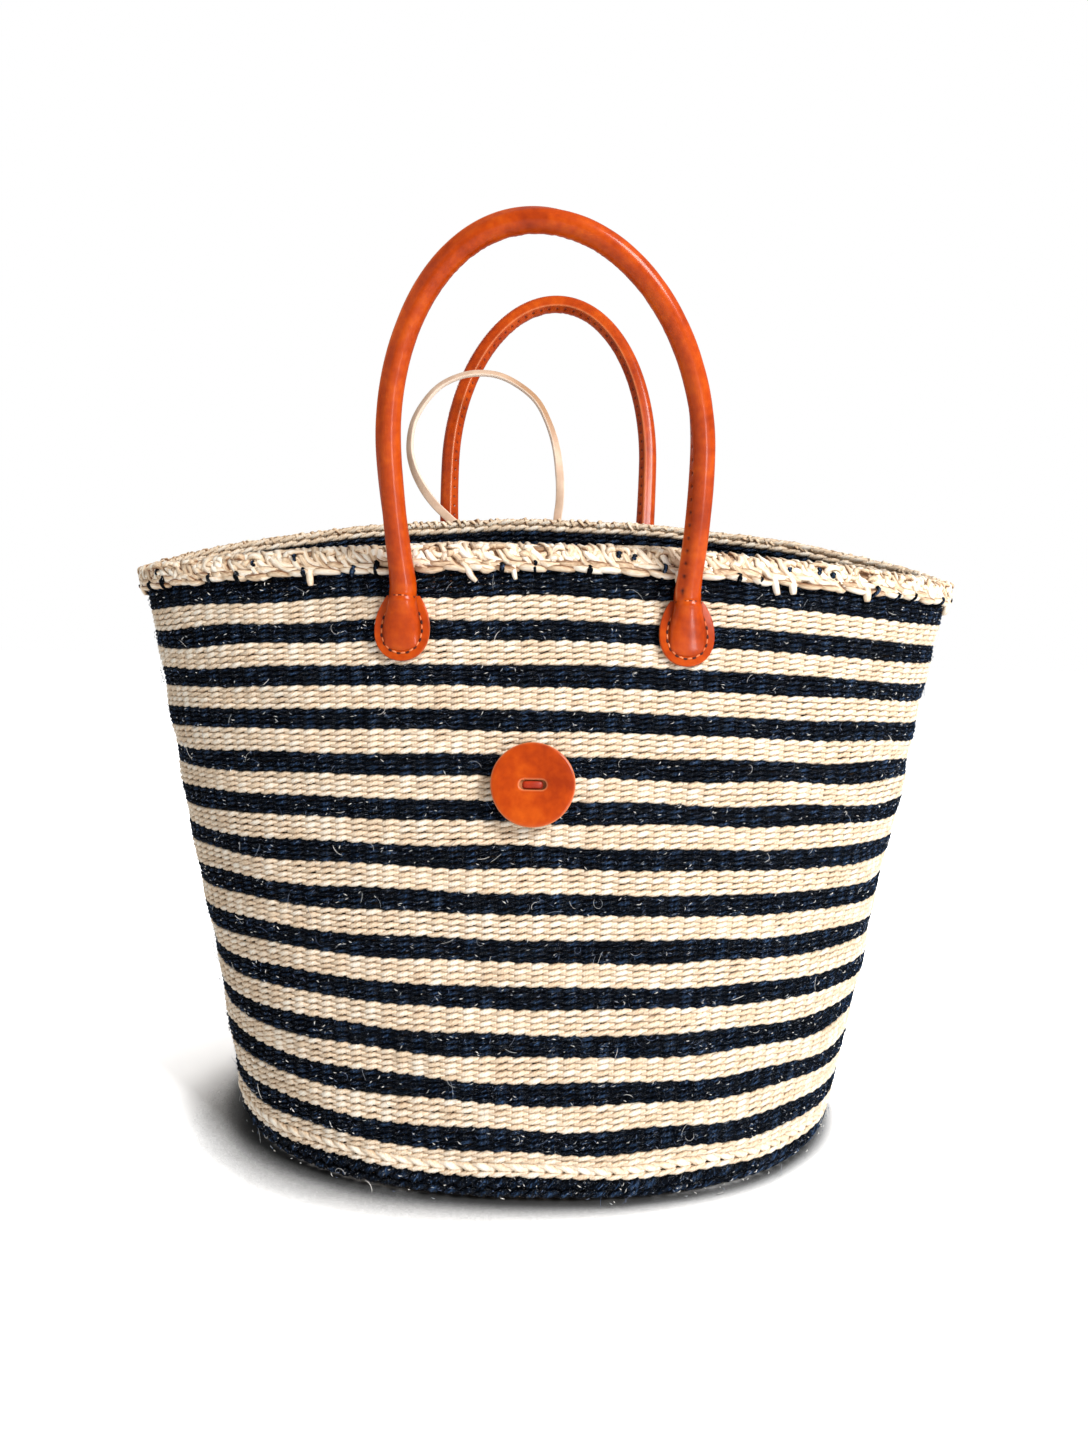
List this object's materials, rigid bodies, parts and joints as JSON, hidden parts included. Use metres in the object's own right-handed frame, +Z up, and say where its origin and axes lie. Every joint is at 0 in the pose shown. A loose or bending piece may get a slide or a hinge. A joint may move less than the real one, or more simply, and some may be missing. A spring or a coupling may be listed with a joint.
{
  "type": "kiondo basket",
  "caption": "Twined sisal tote basket with navy and natural stripes, rolled leather handles that swing, a leather button and a closure loop.",
  "frame": {"origin": "centre of the flat base, on the surface that it stands on", "axes": "+Z up, +X to the right of the front wall, +Y to the back"},
  "size_m": [0.4426, 0.272, 0.477],
  "materials": {
    "navy_sisal": "dyed twined sisal, matte with a faint sheen",
    "natural_sisal": "undyed twined sisal, matte",
    "tan_leather": "smooth tan leather, satin",
    "leather_backing": "flesh side of tan leather, matte",
    "sisal_rope": "laid rope",
    "undyed_thong": "undyed leather, matte",
    "red_brown_thong": "dark leather, satin"
  },
  "bodies": {
    "basket": {"woven_base": "natural_sisal", "navy_weft_band_01": "navy_sisal", "navy_weft_band_02": "navy_sisal", "navy_weft_band_03": "navy_sisal", "navy_weft_band_04": "navy_sisal", "navy_weft_band_05": "navy_sisal", "navy_weft_band_06": "navy_sisal", "navy_weft_band_07": "navy_sisal", "navy_weft_band_08": "navy_sisal", "navy_weft_band_09": "navy_sisal", "navy_weft_band_10": "navy_sisal", "navy_weft_band_11": "navy_sisal", "navy_weft_band_12": "navy_sisal", "navy_weft_band_13": "navy_sisal", "navy_weft_band_14": "navy_sisal", "natural_weft_band_01": "natural_sisal", "natural_weft_band_02": "natural_sisal", "natural_weft_band_03": "natural_sisal", "natural_weft_band_04": "natural_sisal", "natural_weft_band_05": "natural_sisal", "natural_weft_band_06": "natural_sisal", "natural_weft_band_07": "natural_sisal", "natural_weft_band_08": "natural_sisal", "natural_weft_band_09": "natural_sisal", "natural_weft_band_10": "natural_sisal", "natural_weft_band_11": "natural_sisal", "natural_weft_band_12": "natural_sisal", "natural_weft_band_13": "natural_sisal", "rim_braid": "natural_sisal", "front_left_tab": "tan_leather", "front_right_tab": "tan_leather", "back_left_tab": "tan_leather", "back_right_tab": "tan_leather", "front_left_inner_patch": "leather_backing", "front_right_inner_patch": "leather_backing", "back_left_inner_patch": "leather_backing", "back_right_inner_patch": "leather_backing", "button_washer": "leather_backing", "closure_loop_tail": "undyed_thong", "closure_loop_washer": "leather_backing"},
    "front_handle": {"front_handle_leather": "tan_leather", "front_handle_rope_core": "sisal_rope"},
    "back_handle": {"back_handle_leather": "tan_leather", "back_handle_rope_core": "sisal_rope"},
    "closure_loop": {"closure_loop": "undyed_thong"},
    "button": {"button_back_disc": "leather_backing", "button_face_disc": "tan_leather", "button_thong": "red_brown_thong"}
  },
  "joints": [
    {"name": "front_handle_swing", "type": "hinge", "parent": "basket", "child": "front_handle", "pos_m": [0, -0.08351, 0.28198], "axis": [1, 0, 0], "range_deg": [-12, 55]},
    {"name": "back_handle_swing", "type": "hinge", "parent": "basket", "child": "back_handle", "pos_m": [0, 0.08657, 0.30765], "axis": [-1, 0, 0], "range_deg": [-5, 55]},
    {"name": "closure_loop_swing", "type": "hinge", "parent": "basket", "child": "closure_loop", "pos_m": [0.0065, 0.08144, 0.3301], "axis": [-1, 0, 0], "range_deg": [-90, 3]},
    {"name": "button_turn", "type": "hinge", "parent": "basket", "child": "button", "pos_m": [-0.004, -0.09724, 0.1874], "axis": [-0.0036, -0.982, 0.1891], "range_deg": [-30, 30]}
  ]
}
